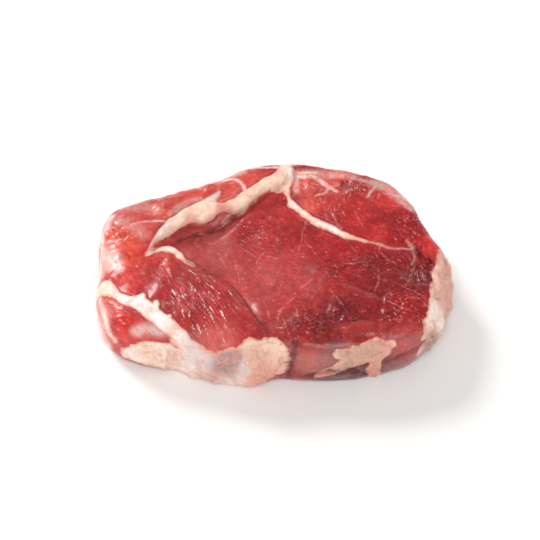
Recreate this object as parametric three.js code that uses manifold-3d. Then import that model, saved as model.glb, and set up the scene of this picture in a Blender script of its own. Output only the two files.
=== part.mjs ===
// A thick slice cut across a boneless beef chuck roll, lying on its lower cut face.
// It is one piece of raw meat: several muscles side by side, held together by seams of fat and silverskin,
// with a fat cap round the front and the right end. Lengths are in millimetres, +Z is up, the front is -Y,
// and the origin is the middle of the footprint.
import * as THREE from "three";
import { ImprovedNoise } from "three/addons/math/ImprovedNoise.js";
import { mergeVertices } from "three/addons/utils/BufferGeometryUtils.js";
import Module from "manifold-3d";

// The slice as a butcher would measure it.
const LENGTH = 201;
const DEPTH = 144;
const SLAB = 34;

// The outline at the slice's widest level, on a sheet of LENGTH by DEPTH, anticlockwise from the front left.
const OUTLINE = [
  [-87, -51], [-73, -57], [-60, -59.5], [-44, -65.5], [-26, -70], [-11, -72],
  [3, -68], [14, -69], [29, -69.5], [44, -68], [62, -63], [74, -58.5],
  [83, -51], [91, -42], [96, -27], [99.5, -12], [98, 1], [92, 14], [86, 27],
  [78, 45], [68, 54.5], [54, 62], [37, 67], [18, 70.5], [1, 71.5],
  [-14, 68], [-30, 60.5], [-44, 54], [-60, 47], [-76, 41],
  [-88, 35], [-95, 26], [-98.5, 13], [-98, 2], [-96, -10], [-97.5, -23], [-94, -40],
];

// How the rim turns over from the upper cut face to the sides, and how the sides tuck in at the bottom.
const ROLL_WIDTH = 8;
const ROLL_DROP = 5.5;
const RIM_INSET = 1.2;
const TUCK = 6;
const WIDEST_FROM_TOP = 0.35;
const TUCK_FROM_TOP = 0.5;
const BELOW_CUT = 2;

// Corners of the slice that fall away more than the rest of the rim: where, how far round, and how much
// wider and deeper their roll is.
const SOFT_CORNERS = [
  { at: [-92, -42], reach: 34, wider: 14, deeper: 7 },
  { at: [-97, 16], reach: 26, wider: 5, deeper: 3 },
  { at: [-45, 54], reach: 40, wider: 5, deeper: 3 },
  { at: [98, -16], reach: 34, wider: 4, deeper: 5 },
  { at: [-8, -71], reach: 16, wider: 4, deeper: 3 },
];

// The muscles: middle, half axes, turn in degrees and how far each stands above the slab, or below it.
const MUSCLES = [
  { name: "eye", at: [-14, -8], radii: [62, 33], turn: -36, rise: -3.2 },
  { name: "lower eye", at: [44, -35], radii: [50, 29], turn: 8, rise: 2 },
  { name: "upper right", at: [50, 27], radii: [45, 26], turn: -26, rise: 3 },
  { name: "flap", at: [-46, -35], radii: [46, 24], turn: -33, rise: 2.5 },
  { name: "front left", at: [-80, -46], radii: [24, 15], turn: -30, rise: 2.5 },
  { name: "left end", at: [-85, 12], radii: [20, 25], turn: 10, rise: 2 },
  { name: "back strip", at: [-44, 42], radii: [46, 12], turn: 26, rise: 1.5 },
  { name: "right pit", at: [81, -15], radii: [16, 12], turn: -20, rise: -2.6 },
  { name: "front dip", at: [-36, -65], radii: [30, 11], turn: -12, rise: -2.4 },
];

// Seams that stand proud or sink in: their line over the cut face, half width at the start, middle and end,
// and rise.
const SEAMS = [
  {
    name: "fat band",
    line: [[-68, 1], [-57, 15], [-42, 26], [-26, 31], [-12, 41], [6, 57]],
    half: [3, 7, 5.5],
    rise: 4.8,
  },
  {
    name: "under the band",
    line: [[-56, 5], [-41, 10], [-28, 19], [-15, 31], [-3, 43]],
    half: [3, 4, 3],
    rise: -2.6,
  },
  { name: "inner seam", line: [[8, 55], [8, 38], [21, 21], [39, 11], [57, 4]], half: [3, 3, 2], rise: 1 },
  {
    name: "white seam",
    line: [[-96, -26], [-80, -34], [-68, -40], [-55, -53], [-44, -63]],
    half: [4, 4.5, 4],
    rise: 1.2,
  },
  { name: "right crack", line: [[73, 4], [81, -4], [92, -15]], half: [2.8, 3.6, 2.8], rise: -4 },
  { name: "lower fold", line: [[34, -16], [48, -27], [64, -36]], half: [3, 4, 3], rise: -1.8 },
];

// The flap laps over the eye: its edge is a step that is highest in the middle and dies out at both ends.
const FLAP_EDGE = [[-69, -2], [-61, 3], [-51, -2], [-38, -16], [-24, -25], [-14, -43], [-4, -59]];
const FLAP_STEP = 4.6;
const FLAP_STEP_WIDTH = 3;
const FLAP_STEP_REACH = 22;

// Swellings of the fat cap and of the meat on the sides: where, how far round and how far out.
const LUMPS = [
  { name: "front lump", at: [-7, -70, 20], reach: 13, out: 1.8 },
  { name: "cap left", at: [-44, -65, 11], reach: 14, out: 1.6 },
  { name: "cap far left", at: [-66, -58, 10], reach: 13, out: 1.4 },
  { name: "beside the lump", at: [8, -68, 20], reach: 8, out: -2.4 },
  { name: "flank", at: [72, -58, 18], reach: 20, out: 1.6 },
  { name: "right cap", at: [98, -20, 18], reach: 20, out: 1 },
];

// Unevenness of soft meat: size of the swells over the faces and how high they are.
const SWELL_SIZE = 17;
const SWELL = 0.7;

// Steps of the surface along the length, along the depth and up the sides, and of the drawn outline.
const STEPS = [64, 46, 8];
const RIM_POINTS = 360;

const RAW_BEEF = new THREE.MeshStandardMaterial({ color: "#b23f3d", roughness: 0.38, metalness: 0 });

const smooth = (t) => t * t * (3 - 2 * t);
const clamp = THREE.MathUtils.clamp;

const rim = new THREE.CatmullRomCurve3(
  OUTLINE.map(([x, y]) => new THREE.Vector3(x, y, 0)),
  true,
  "centripetal",
).getSpacedPoints(RIM_POINTS);

// A polyline with its length so far, for finding how far a point is from a seam and where along it.
function seamLine(points, pieces = 40) {
  const curve = new THREE.CatmullRomCurve3(points.map(([x, y]) => new THREE.Vector3(x, y, 0)));
  return curve.getSpacedPoints(pieces);
}

// Nearest place on a line: distance, share of the way along, and which side of the line (left is +1).
function nearest(line, x, y) {
  let best = { distance: Infinity, along: 0, side: 1 };
  for (let i = 0; i + 1 < line.length; i++) {
    const a = line[i];
    const b = line[i + 1];
    const [dx, dy] = [b.x - a.x, b.y - a.y];
    const share = clamp(((x - a.x) * dx + (y - a.y) * dy) / (dx * dx + dy * dy), 0, 1);
    const [px, py] = [x - a.x - share * dx, y - a.y - share * dy];
    const distance = Math.hypot(px, py);
    if (distance < best.distance)
      best = { distance, along: (i + share) / (line.length - 1), side: Math.sign(dx * py - dy * px) || 1 };
  }
  return best;
}

// A smooth hill of height 1 at its middle, for a point given as a share of the way to its edge.
const hill = (share) => (share < 1 ? (1 - share * share) ** 2 : 0);

function muscleRise(x, y) {
  let rise = 0;
  for (const { at, radii, turn, rise: height } of MUSCLES) {
    const angle = THREE.MathUtils.degToRad(turn);
    const [dx, dy] = [x - at[0], y - at[1]];
    const u = (dx * Math.cos(angle) + dy * Math.sin(angle)) / radii[0];
    const v = (dy * Math.cos(angle) - dx * Math.sin(angle)) / radii[1];
    rise += height * hill(Math.hypot(u, v));
  }
  return rise;
}

const seamLines = SEAMS.map((seam) => seamLine(seam.line));

function seamRise(x, y) {
  let rise = 0;
  SEAMS.forEach(({ half, rise: height }, i) => {
    const { distance, along } = nearest(seamLines[i], x, y);
    const width = along < 0.5
      ? THREE.MathUtils.lerp(half[0], half[1], smooth(2 * along))
      : THREE.MathUtils.lerp(half[1], half[2], smooth(2 * along - 1));
    const tapered = height * (0.35 + 0.65 * Math.sin(Math.PI * clamp(along, 0.05, 0.95)));
    rise += tapered * hill(distance / (1.6 * width));
  });
  return rise;
}

const flapLine = seamLine(FLAP_EDGE);

function flapRise(x, y) {
  const { distance, along, side } = nearest(flapLine, x, y);
  const height = FLAP_STEP * Math.sin(Math.PI * along) ** 0.7;
  const acrossStep = smooth(clamp(0.5 - (side * distance) / (2 * FLAP_STEP_WIDTH), 0, 1));
  const fading = Math.exp(-((distance / FLAP_STEP_REACH) ** 2));
  return height * fading * (acrossStep - 0.5);
}

const noise = new ImprovedNoise();
const swell = (x, y, z) => SWELL * noise.noise(x / SWELL_SIZE, y / SWELL_SIZE, z / SWELL_SIZE);

function cutFaceHeight(x, y) {
  return SLAB + muscleRise(x, y) + seamRise(x, y) + flapRise(x, y);
}

// How wide and deep the rim's roll is near a point of the outline.
function roll(x, y) {
  let width = ROLL_WIDTH;
  let drop = ROLL_DROP;
  for (const { at, reach, wider, deeper } of SOFT_CORNERS) {
    const share = Math.exp(-((x - at[0]) ** 2 + (y - at[1]) ** 2) / reach ** 2);
    width += wider * share;
    drop += deeper * share;
  }
  return { width, drop };
}

// The outline's point in one direction from the middle: the stretch of the rim that the direction's ray meets.
function rimPoint(direction) {
  for (let i = 0; i + 1 < rim.length; i++) {
    const before = direction.x * rim[i].y - direction.y * rim[i].x;
    const after = direction.x * rim[i + 1].y - direction.y * rim[i + 1].x;
    if (before <= 0 && after > 0 && direction.dot(rim[i]) > 0)
      return rim[i].clone().lerp(rim[i + 1], before / (before - after));
  }
  return rim[0];
}

// How far in from the outline the side lies, from 0 at the rim to 1 at the bottom.
function sideInset(down) {
  const towardsRim = Math.max(0, 1 - down / WIDEST_FROM_TOP);
  const towardsBottom = Math.max(0, (down - TUCK_FROM_TOP) / (1 - TUCK_FROM_TOP));
  return RIM_INSET * towardsRim ** 2 + TUCK * towardsBottom ** 2;
}

// Moves one vertex of the starting block, whose sides run from -1 to 1, to its place on the slice. The square
// is first drawn round to a disc, and the disc is then stretched to the outline.
function place(vertex) {
  const disc = new THREE.Vector3(
    vertex.x * Math.sqrt(1 - vertex.y ** 2 / 2),
    vertex.y * Math.sqrt(1 - vertex.x ** 2 / 2),
    0,
  );
  const ring = disc.length();
  const edge = rimPoint(disc.multiply(new THREE.Vector3(LENGTH, DEPTH, 0)));
  const reach = edge.length();
  const { width, drop } = roll(edge.x, edge.y);
  const down = (1 - vertex.z) / 2;
  const out = (ring * (reach - sideInset(down))) / reach;
  const [x, y] = [edge.x * out, edge.y * out];

  const fromRim = Math.min(1, ((1 - ring) * reach) / width);
  const top = cutFaceHeight(x, y) - drop * (1 - Math.sqrt(1 - (1 - fromRim) ** 2));
  vertex.set(x, y, THREE.MathUtils.lerp(top, -BELOW_CUT, down));

  const outward = new THREE.Vector3(x, y, 0).normalize();
  for (const { at, reach: round, out: far } of LUMPS) {
    const distance = vertex.distanceTo(new THREE.Vector3(...at));
    vertex.addScaledVector(outward, ring * far * Math.exp(-((distance / round) ** 2)));
  }
  const uneven = swell(vertex.x, vertex.y, vertex.z);
  vertex.addScaledVector(outward, ring * uneven);
  vertex.z += uneven * (1 - down);
  return vertex;
}

// The whole lump before the lower cut: a block of small quads, drawn out to the slice's form.
function lumpGeometry() {
  const block = new THREE.BoxGeometry(2, 2, 2, ...STEPS);
  block.deleteAttribute("normal");
  block.deleteAttribute("uv");
  const geometry = mergeVertices(block);
  const position = geometry.getAttribute("position");
  const vertex = new THREE.Vector3();
  for (let i = 0; i < position.count; i++) {
    place(vertex.fromBufferAttribute(position, i));
    position.setXYZ(i, vertex.x, vertex.y, vertex.z);
  }
  return geometry;
}

const wasm = await Module();
wasm.setup();

function solidOf(geometry) {
  return new wasm.Manifold(
    new wasm.Mesh({
      numProp: 3,
      vertProperties: new Float32Array(geometry.getAttribute("position").array),
      triVerts: new Uint32Array(geometry.index.array),
    }),
  );
}

function geometryOf(solid) {
  const { numProp, vertProperties, triVerts } = solid.getMesh();
  const geometry = new THREE.BufferGeometry();
  const points = new THREE.InterleavedBuffer(vertProperties, numProp);
  geometry.setAttribute("position", new THREE.InterleavedBufferAttribute(points, 3, 0));
  geometry.setIndex(new THREE.BufferAttribute(triVerts, 1));
  return geometry.toNonIndexed();
}

// The knife's lower cut is one flat plane, which the slice rests on.
function knifeCut() {
  const slab = new THREE.BoxGeometry(2 * LENGTH, 2 * DEPTH, SLAB);
  slab.deleteAttribute("normal");
  slab.deleteAttribute("uv");
  slab.translate(0, 0, -SLAB / 2);
  return mergeVertices(slab);
}

const slice = geometryOf(solidOf(lumpGeometry()).subtract(solidOf(knifeCut())));
slice.computeBoundingBox();
const middle = slice.boundingBox.getCenter(new THREE.Vector3());
slice.translate(-middle.x, -middle.y, 0);
slice.computeVertexNormals();

const chuckRoll = new THREE.Mesh(slice, RAW_BEEF);
chuckRoll.name = "chuck_roll";

const group = new THREE.Group();
group.add(chuckRoll);

export default group;
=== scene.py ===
import math

import bmesh
import bpy
import numpy as np
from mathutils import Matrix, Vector, noise


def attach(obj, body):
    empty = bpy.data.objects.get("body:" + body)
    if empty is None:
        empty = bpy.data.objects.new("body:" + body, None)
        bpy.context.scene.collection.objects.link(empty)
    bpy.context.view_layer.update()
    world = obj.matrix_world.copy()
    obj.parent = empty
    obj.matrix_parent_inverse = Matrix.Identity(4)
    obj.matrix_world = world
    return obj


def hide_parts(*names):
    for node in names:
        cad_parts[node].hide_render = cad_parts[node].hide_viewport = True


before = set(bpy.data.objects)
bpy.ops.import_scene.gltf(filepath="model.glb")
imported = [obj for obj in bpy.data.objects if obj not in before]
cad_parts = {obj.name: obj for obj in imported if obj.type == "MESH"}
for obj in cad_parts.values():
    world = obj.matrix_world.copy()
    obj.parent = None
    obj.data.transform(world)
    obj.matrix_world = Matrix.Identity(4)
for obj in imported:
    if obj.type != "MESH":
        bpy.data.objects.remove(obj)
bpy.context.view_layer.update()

# The slice: one soft lump of raw beef, cut straight across a boneless chuck roll with a long knife. It is
# made from a copy of the CAD solid, merged, remeshed to an even fine skin and smoothed, so that no facet
# shows. The lower cut stays flat.
MM = 0.001
SKIN_STEP = 0.9
SOFTENING = 14

bm = bmesh.new()
bm.from_mesh(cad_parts["chuck_roll"].data)
bmesh.ops.remove_doubles(bm, verts=bm.verts, dist=0.01 * MM)
merged = bpy.data.meshes.new("merged")
bm.to_mesh(merged)
bm.free()

beef = bpy.data.objects.new("beef_slice", merged)
bpy.context.scene.collection.objects.link(beef)
skin = beef.modifiers.new("even skin", "REMESH")
skin.mode = "VOXEL"
skin.voxel_size = SKIN_STEP * MM
soften = beef.modifiers.new("soften", "SMOOTH")
soften.factor = 0.5
soften.iterations = SOFTENING
beef.data = bpy.data.meshes.new_from_object(beef.evaluated_get(bpy.context.evaluated_depsgraph_get()))
beef.modifiers.clear()
beef.data.name = "beef_slice"
beef.data.materials.clear()
beef.data.shade_smooth()

count = len(beef.data.vertices)


def read(name, wide=3):
    """One of the mesh's own vectors for every point, as rows."""
    flat = np.empty(count * wide)
    beef.data.vertices.foreach_get(name, flat)
    return flat.reshape(count, wide)


place = read("co") / MM
facing = read("normal")
upper = np.clip((facing[:, 2] - 0.2) / 0.5, 0, 1) * (place[:, 2] > 15)
lift = np.zeros(count)


def waves(size, seed, at=place):
    """Smooth random swells of one size in mm, from -1 to 1. Three sizes draw them out along the axes."""
    spread = at / np.array(size) + np.array((seed * 17.3, seed * -9.1, seed * 5.7))
    return np.array([noise.noise(Vector(p)) for p in spread]) * 1.6


def smooth(value, low, high):
    """0 below low, 1 above high and an even rise between them."""
    t = np.clip((value - low) / (high - low), 0, 1)
    return t * t * (3 - 2 * t)


lift += 0.4 * waves((11, 11, 11), 1) + 0.1 * waves((4, 4, 4), 2)

# The muscles: bundles of fibre that the knife cuts across or slantwise, each with a grain of its own. Each
# has its middle, half axes and turn on the cut face, the turn of its fibres, and how wide and long a bundle
# shows.
MUSCLES = {
    # middle, half axes, turn, fibres' turn, bundle's width and length
    "flap": ((-46, -35), (42, 23), -33, -60, 1.3, 8),
    "eye": ((-12, -2), (56, 28), -36, -34, 1.0, 5),
    "lower eye": ((44, -38), (50, 26), 8, -38, 1.3, 3.5),
    "upper right": ((50, 27), (42, 24), -26, -52, 1.5, 4),
    "right pit": ((80, -16), (9, 15), 0, -80, 1.4, 9),
    "back strip": ((-44, 44), (44, 12), 26, 18, 1.5, 6),
    "left lumps": ((-85, 12), (18, 25), 10, -64, 1.7, 4),
    "left low": ((-80, -47), (22, 14), -20, -30, 1.4, 7),
    "front right": ((40, -66), (44, 5), 0, -6, 1.6, 12),
}

nearness = np.full(count, 1e9)
grain = np.zeros((count, 3))
for index, ((x, y), (long_half, short_half), turn, fibre_turn, wide, long) in enumerate(MUSCLES.values()):
    dx = place[:, 0] - x
    dy = place[:, 1] - y
    turn = math.radians(turn)
    u = (dx * math.cos(turn) + dy * math.sin(turn)) / long_half
    v = (dy * math.cos(turn) - dx * math.sin(turn)) / short_half
    share = np.hypot(u, v)
    mine = share < nearness
    nearness[mine] = share[mine]
    fibre_turn = math.radians(fibre_turn)
    along = (dx * math.cos(fibre_turn) + dy * math.sin(fibre_turn)) / long
    across = (dy * math.cos(fibre_turn) - dx * math.sin(fibre_turn)) / wide
    grain[mine] = np.stack((along + 40 * index, across, place[:, 2] / (1.6 * wide)), axis=1)[mine]


def patches(places):
    """How much of a quality each point of the skin has, from patches given as x, y, reach and strength."""
    total = np.zeros(count)
    for x, y, reach, strength in places:
        away = ((place[:, 0] - x) ** 2 + (place[:, 1] - y) ** 2) / reach ** 2
        total = np.maximum(total, strength * np.exp(-1.6 * away))
    return total


# Where the knife tore rather than sliced, the flesh stands in soft lumps with creases between them.
TORN = [
    (-86, 14, 17, 1.2), (-72, -14, 14, 0.15), (-62, 33, 15, 1), (-36, 46, 14, 0.7), (-12, 57, 11, 0.6),
    (24, 54, 14, 0.7), (46, 49, 13, 1.2), (68, 38, 13, 0.7), (82, -16, 12, 1), (62, -40, 16, 0.9),
    (36, -48, 14, 0.8), (20, -57, 12, 0.6), (-84, -46, 12, 0.5), (62, -6, 12, 0.5), (-4, 26, 11, 0.5),
]
# Where juice stands on the cut and glints: the bump is stronger there, and the shader paints pale glint
# streaks there too.
WET = [
    (-40, -38, 19, 1), (-57, -18, 14, 0.45), (-68, -8, 10, 0.3), (-10, 15, 11, 0.9), (4, 6, 9, 0.5),
    (46, -6, 10, 0.4), (28, -14, 12, 0.3), (47, 48, 10, 1), (22, 52, 10, 0.7), (30, 30, 14, 0.5),
    (-86, 14, 14, 0.5), (-62, 32, 14, 0.5), (-30, 50, 12, 0.4), (82, -16, 12, 0.55), (68, -38, 13, 0.45),
    (80, 18, 12, 0.5), (12, -52, 12, 0.6), (-84, -44, 14, 0.6), (-80, -12, 12, 0.5),
    (31, -17, 5, 1), (14, -45, 4, 1), (5, -53, 4, 1), (61, -46, 5, 0.7), (33, -47, 6, 0.6),
]
# Where the knife left the fibre ends smooth and half dry, with a soft sheen.
SATIN = [(-34, 4, 22, 1), (-16, -40, 7, 1), (-52, 10, 10, 0.8), (-8, -14, 22, 0.8), (12, -24, 14, 0.4),
         (-30, -58, 8, 0.5), (-75, -15, 12, 1),
    (-60, -26, 10, 0.5)]
torn = patches(TORN)
wet = patches(WET)
satin = patches(SATIN)
folds = np.abs(waves((9, 9, 12), 11)) ** 0.7 + 0.5 * np.abs(waves((4.5, 4.5, 6), 12)) ** 0.7
lift += upper * torn * (1.7 * folds - 0.9)
# Broad swells of the lump itself: x, y, reach, and how far its top and its side stand out or in.
SWELLS = [(-88, 28, 11, 1.2, 4.2), (-63, -20, 8, -0.9, 0)]
for x, y, reach, top_rise, side_rise in SWELLS:
    lift += patches([(x, y, reach, 1)]) * (side_rise + (top_rise - side_rise) * upper)
crease_shade = torn * np.exp(-(folds / 0.28) ** 2)
lift += (0.04 + 0.2 * wet) * upper * waves((1, 1, 1), 3, grain * (0.75, 0.75, 0.75))

# The fresh cut's reds, as a butcher would call them, and where each lies on the slice: x, y, z and reach in
# mm.
REDS = {
    "blush": "#e88f85",
    "salmon": "#bd5550",
    "coral": "#d2554a",
    "flame": "#d5402c",
    "scarlet": "#c6312d",
    "rose": "#ac3a3a",
    "red": "#a42527",
    "crimson": "#94121a",
    "wine": "#7b121a",
    "plum": "#660f19",
    "dusk": "#a04c48",
    "cherry": "#9f2a2e",
    "garnet": "#9a322f",
    # This brown is painted shade for the foot of the walls, not a colour of the meat.
    "shade_umber": "#4f2725",
}
RED_PLACES = [
    (0, -16, 33, 26, "rose"), (-34, 0, 31, 22, "rose"), (-10, 15, 33, 16, "red"), (36, -4, 34, 24, "crimson"),
    (60, -20, 35, 16, "wine"), (80, -18, 32, 10, "plum"), (38, -47, 36, 15, "plum"),
    (14, -56, 34, 15, "wine"),
    (48, -58, 34, 12, "red"), (68, -46, 34, 14, "crimson"), (44, 27, 36, 26, "red"),
    (36, 53, 34, 12, "coral"),
    (66, 42, 34, 12, "scarlet"), (78, 18, 34, 13, "crimson"), (-30, 50, 34, 16, "coral"),
    (-64, 32, 33, 16, "coral"), (-86, 14, 34, 14, "coral"), (-94, -2, 31, 8, "blush"),
    (-78, -17, 34, 12, "scarlet"),
    (-66, -10, 36, 10, "scarlet"), (-60, -22, 36, 12, "crimson"),
    # The wine patch at 42, 49 is painted shade in the hollow at the back right.
    (42, 49, 34, 6, "wine"), (18, 50, 35, 8, "coral"), (-16, 58, 34, 9, "coral"),
    (16, -35, 33, 9, "crimson"), (-36, 6, 31, 17, "dusk"), (-28, -8, 31, 10, "dusk"),
    (-58, -8, 36, 6, "crimson"), (-46, -34, 37, 20, "cherry"), (-31, -60, 33, 8, "salmon"),
    (-28, -20, 35, 8, "scarlet"), (-82, -47, 28, 12, "scarlet"), (-94, -40, 26, 8, "blush"),
    (-46, 13, 32, 10, "crimson"), (16, -67, 20, 12, "garnet"), (72, -60, 26, 13, "rose"),
    # The umber patches, here and at 82, -52, are painted shade low on the front and right walls.
    (64, -62, 8, 12, "shade_umber"),
    (93, 8, 30, 9, "scarlet"), (30, -68, 6, 12, "shade_umber"), (45, -67, 6, 9, "shade_umber"),
    (36, -68, 3, 12, "shade_umber"), (51, -67, 3, 10, "shade_umber"), (20, -69, 22, 9, "garnet"),
    (-60, -58, 2, 12, "rose"), (-60, -2, 35, 5, "coral"), (-66, -9, 36, 7, "wine"),
    (-76, 44, 12, 22, "crimson"), (-32, 64, 12, 22, "crimson"), (20, 70, 12, 22, "crimson"),
    (62, 60, 12, 20, "wine"),
    (82, -52, 8, 12, "shade_umber"), (80, -54, 18, 9, "garnet"),
    (26, -48, 35, 6, "plum"), (35, -44, 35, 6, "plum"), (62, -47, 35, 6, "plum"), (53, -8, 34, 8, "plum"),
    (68, 24, 36, 7, "wine"), (3, -54, 34, 7, "rose"), (14, -62, 33, 6, "scarlet"), (22, 35, 35, 6, "coral"),
    (47, 23, 37, 8, "scarlet"), (57, 12, 36, 6, "scarlet"), (-79, -6, 35, 7, "flame"),
    (-57, -4, 35, 7, "flame"),
    (-93, -32, 29, 6, "flame"), (-13, -10, 30, 9, "rose"), (-2, -25, 31, 9, "rose"), (9, 9, 34, 8, "crimson"),
    (-14, 16, 32, 7, "crimson"), (-87, 9, 35, 7, "flame"),
]


def linear(colour):
    """A hex sRGB colour as the linear red, green, blue and alpha that Blender works in."""
    channels = [int(colour[i:i + 2], 16) / 255 for i in (1, 3, 5)]
    return [c / 12.92 if c <= 0.04045 else ((c + 0.055) / 1.055) ** 2.4 for c in channels] + [1.0]


def painted(places, palette, ground):
    """A colour for every point, blended from patches given as x, y, z, reach and a colour's name."""
    total = np.tile(np.array(linear(palette[ground])) * 0.05, (count, 1))
    weight = np.full(count, 0.05)
    for x, y, z, reach, name in places:
        away = (place[:, 0] - x) ** 2 + (place[:, 1] - y) ** 2 + (0.6 * (place[:, 2] - z)) ** 2
        share = np.exp(-1.6 * away / reach ** 2)
        total += share[:, None] * np.array(linear(palette[name]))
        weight += share
    return total / weight[:, None]


flesh = painted(RED_PLACES, REDS, "red")
# Painted shade: the flesh is darkened in the creases between the torn lumps.
flesh[:, :3] *= (1 - 0.3 * crease_shade)[:, None]

# A small muscle of its own shows as a paler lens near the front, with a clear rim.
LENS = ((46, -54), (13, 5), 4)
(x, y), (long_half, short_half), turn = LENS
turn = math.radians(turn)
dx = place[:, 0] - x
dy = place[:, 1] - y
u = (dx * math.cos(turn) + dy * math.sin(turn)) / long_half
v = (dy * math.cos(turn) - dx * math.sin(turn)) / short_half
inside = (1 - np.hypot(u, v)) * short_half
lens_share = smooth(inside, -0.6, 0.6) * upper
lift += 0.7 * smooth(inside, -0.8, 2.2) * upper
flesh += 0.75 * lens_share[:, None] * (np.array(linear("#9c312e")) - flesh)

# The seams of fat between the muscles: soft cream fat that stands a little proud of the cut and runs down
# through the slice. Each point is x, y, z and half width in mm, given along the seam.
FAR = 14


def drawn(points, steps=6):
    """A smooth line through given points, with whatever else each point holds."""
    p = np.array(points, float)
    p = np.vstack((2 * p[0] - p[1], p, 2 * p[-1] - p[-2]))
    line = []
    for a, b, c, d in zip(p, p[1:], p[2:], p[3:]):
        for t in np.arange(steps) / steps:
            line.append(0.5 * (2 * b + (c - a) * t + (2 * a - 5 * b + 4 * c - d) * t * t
                               + (3 * b - a - 3 * c + d) * t ** 3))
    return np.array(line + [p[-2]])


def nearest(points, through=False, round_the_side=False):
    """For every point of the skin: distance to a line, the line's half width there, share along and side.

    A line on the cut face is measured in plan and fades below it, unless it runs through the slice. One round
    the side is measured in space.
    """
    line = drawn(points)
    reach = FAR + line[:, 3].max()
    low = line[:, :3].min(0) - reach
    high = line[:, :3].max(0) + reach
    if through:
        low[2], high[2] = -1, 99
    close = np.flatnonzero(((place > low) & (place < high)).all(1))
    at = place[close]
    best = np.full(len(close), 1e9)
    half = np.zeros(len(close))
    along = np.zeros(len(close))
    side = np.ones(len(close))
    for i, (a, b) in enumerate(zip(line, line[1:])):
        step = b[:3] - a[:3]
        if not round_the_side:
            step[2] = 0
        gap = at - a[:3]
        t = np.clip(gap @ step / max(step @ step, 1e-9), 0, 1)
        off = gap - t[:, None] * step
        if not round_the_side:
            off[:, 2] = 0 if through else np.clip(off[:, 2] + 4, None, 0)
        distance = np.sqrt((off ** 2).sum(1))
        mine = distance < best
        best[mine] = distance[mine]
        half[mine] = (a[3] + t * (b[3] - a[3]))[mine]
        along[mine] = ((i + t) / (len(line) - 1))[mine]
        side[mine] = np.sign(step[0] * off[:, 1] - step[1] * off[:, 0])[mine]
    found = np.full((count, 4), (1e3, 0.0, 0.0, 1.0))
    found[close] = np.stack((best, half, along, side), axis=1)
    return found.T


THROUGH_SEAMS = {
    "band": [
        (-68.5, 2, 36, 1.2), (-66, 7, 35, 2.4), (-62.5, 12, 35, 3.8), (-57.5, 18, 35, 4.8),
        (-50, 24.5, 36, 5.6),
        (-44.5, 26.5, 37, 6.4), (-39, 28, 38, 6.6), (-34, 29.5, 38, 5.6), (-29, 30, 38, 2.9),
        (-24, 31.5, 38, 4.6),
        (-19.5, 34, 38, 4.6), (-15, 39, 37, 4.4), (-11, 43, 37, 4.5), (-7, 47, 37, 4.5), (-3, 50.5, 37, 4.9),
        (1, 53, 36, 5.4), (4, 56.5, 36, 5), (6, 61, 36, 4.4), (8, 68, 33, 3.4),
    ],
    "inner seam": [
        (9, 62, 36, 3.2), (9, 57, 35, 3.3), (8.3, 52, 35, 2.9), (7.6, 47.5, 35, 2.4), (8, 42.5, 35, 2),
        (9.5, 37.5, 35, 2),
        (12.5, 32.5, 35, 2.2), (17, 27.6, 35, 2.5), (22, 23, 35, 2.7), (28, 18.8, 35, 2.8),
        (35, 13.8, 35, 2.4),
        (42, 10, 36, 1.7), (49, 7.5, 35, 1.2), (58, 5, 35, 0.7),
    ],
    "white seam": [
        (-94, -22, 29, 5), (-87, -28.5, 33, 3.4), (-80.5, -34.5, 34, 3.2), (-75, -36.5, 35, 4.4),
        (-69.5, -40.8, 35, 5), (-64, -45.4, 35.5, 4.8), (-59, -50, 35, 4.4), (-54, -54.5, 32, 4),
        (-49, -58.5, 30, 4), (-45, -62.5, 29, 3.5), (-38, -66, 28, 3), (-31, -67.5, 28, 2.4),
        (-22, -67, 31, 3),
    ],
}
FACE_SEAMS = {
    "spur": [(-42, 31, 38, 4.4), (-36, 37.5, 37, 3.4), (-32.5, 42, 36, 2.4), (-31, 44.5, 36, 1.6)],
    "back rim": [(-11, 64, 33, 1.2), (-5, 64.5, 34, 1.5), (1, 65, 34, 1.8), (6, 64, 35, 1.5)],
    "lobe": [(-4, 48, 36, 2.6), (1, 47.5, 35, 3.4), (5, 47.5, 35, 2.8)],
    "tooth 1": [(-74, -37, 35, 4.2), (-72, -33.5, 35, 3.4), (-71, -31.5, 35, 2.2)],
    "tooth 2": [(-64, -43, 35, 3.6), (-63.5, -39.5, 35, 2.4), (-63.5, -37.5, 35, 1.6)],
    "tooth 3": [(-58, -49, 36, 3), (-56, -46.5, 36, 1.6)],
    "top streak": [(9, 61, 34, 1.6), (16, 60, 34, 1.7), (24, 60, 34, 1.3), (31, 58, 34, 0.5)],
    "flap lip": [(-70, -2, 36, 1.8), (-66, 0.3, 36, 2.6), (-61.5, 1.7, 35, 3), (-57, 1.1, 35, 3),
                 (-53.5, -1.2, 35, 2.5), (-51.5, -5, 35, 1.9), (-48.5, -9, 34, 1.2), (-43, -13, 33, 0.4)],
}

fat = np.full(count, -float(FAR))
STRAND = 0.8
for name, points in (THROUGH_SEAMS | FACE_SEAMS).items():
    distance, half, along, side = nearest(points, through=name in THROUGH_SEAMS)
    mine = (half - distance > fat) & (half - distance > -1.5)
    fat = np.maximum(fat, half - distance)
    if name == "band":
        tube = np.sqrt(np.clip(1 - (distance / np.maximum(half, 1)) ** 2, 0, 1))
        gutter = (distance > half) * np.exp(-(((distance - half) / 2) ** 2))
        lift += upper * (1.3 * tube - 0.8 * gutter) * (1 - smooth(along, 0.72, 0.92))
    run = np.linalg.norm(np.diff(np.array(points)[:, :2], axis=0), axis=1).sum()
    grain[mine] = np.stack((along * run / 6, distance * side / STRAND, place[:, 2] / 3), axis=1)[mine]
fat += 0.7 * waves((7, 7, 7), 13) + 0.2 * waves((2.4, 2.4, 2.4), 14)
seam_fat = smooth(fat, 0, 2.5)
broad = smooth(fat, 2, 5)
lift += upper * seam_fat * (0.35 + 0.5 * waves((6, 6, 6), 4) + 0.25 * waves((2.6, 2.6, 2.6), 5))
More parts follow.
